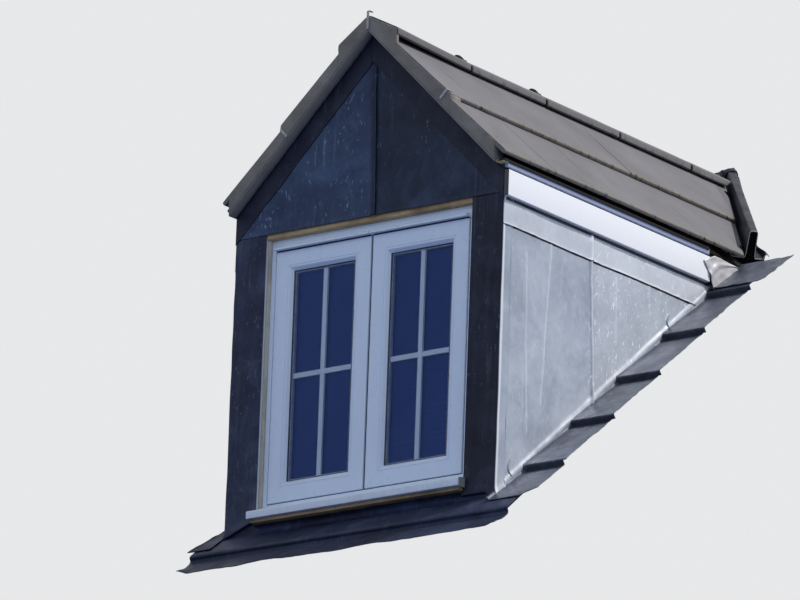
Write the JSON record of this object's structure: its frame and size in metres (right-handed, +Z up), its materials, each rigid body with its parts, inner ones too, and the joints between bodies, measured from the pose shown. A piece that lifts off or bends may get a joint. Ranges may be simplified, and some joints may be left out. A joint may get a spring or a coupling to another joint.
{
  "type": "dormer window",
  "caption": "Gabled roof dormer with a two-light casement window, lead-clad front and cheeks, tiled saddle roof, ridge, white fascias, ribbed valley troughs and lead flashings.",
  "frame": {"origin": "middle of the front sole plate's underside, on the sloping plane where the dormer sits on the roof", "axes": "+X to the viewer's right across the gable, +Y back into the roof along the ridge, +Z up"},
  "size_m": [1.638, 2.5379, 2.0907],
  "materials": {
    "timber": "sawn softwood, dull and stained where it shows",
    "plywood": "plain sheet, covered by lead",
    "plasterboard": "matt, paper faced",
    "lead": "weathered grey lead sheet, satin, with pale streaks and dark stains",
    "plastic": "white plastic, soft gloss, a little dirty at the edges",
    "glass": "clear float glass",
    "tile": "weathered grey-brown concrete, matt",
    "mortar": "rough grey mortar",
    "clip": "dull mill finish",
    "fascia": "white plastic board",
    "trough": "dark moulded sheet, satin, lichen and dust in the channels"
  },
  "bodies": {
    "root": {"front_frame": "timber", "cheek_frame_left": "timber", "cheek_frame_right": "timber", "roof_frame_left": "timber", "roof_frame_right": "timber", "ridge_board": "timber", "front_sheathing": "plywood", "cheek_sheathing_left": "plywood", "cheek_sheathing_right": "plywood", "lining_left": "plasterboard", "lining_right": "plasterboard", "front_lining": "plasterboard", "window_board": "timber", "gable_lead_left": "lead", "gable_lead_right": "lead", "rake_strips": "lead", "post_lead_left": "lead", "post_lead_right": "lead", "front_apron": "lead", "cheek_lead_left": "lead", "cheek_lead_right": "lead", "cheek_strip_left": "lead", "cheek_strip_right": "lead", "side_flashing_left": "lead", "side_flashing_right": "lead", "valley_gussets": "lead", "ridge_saddle": "trough", "window_frame": "plastic", "sash_left": "plastic", "sash_right": "plastic", "window_glass": "glass", "window_bars": "plastic", "drip_bars": "plastic", "window_sill": "plastic", "window_packers": "timber", "roof_tiles_left": "tile", "roof_tiles_right": "tile", "ridge_tiles": "tile", "ridge_mortar": "mortar", "verge_left": "mortar", "verge_right": "mortar", "verge_clips": "clip", "fascia_boards": "fascia", "valley_trough_left": "trough", "valley_trough_right": "trough"}
  },
  "joints": []
}
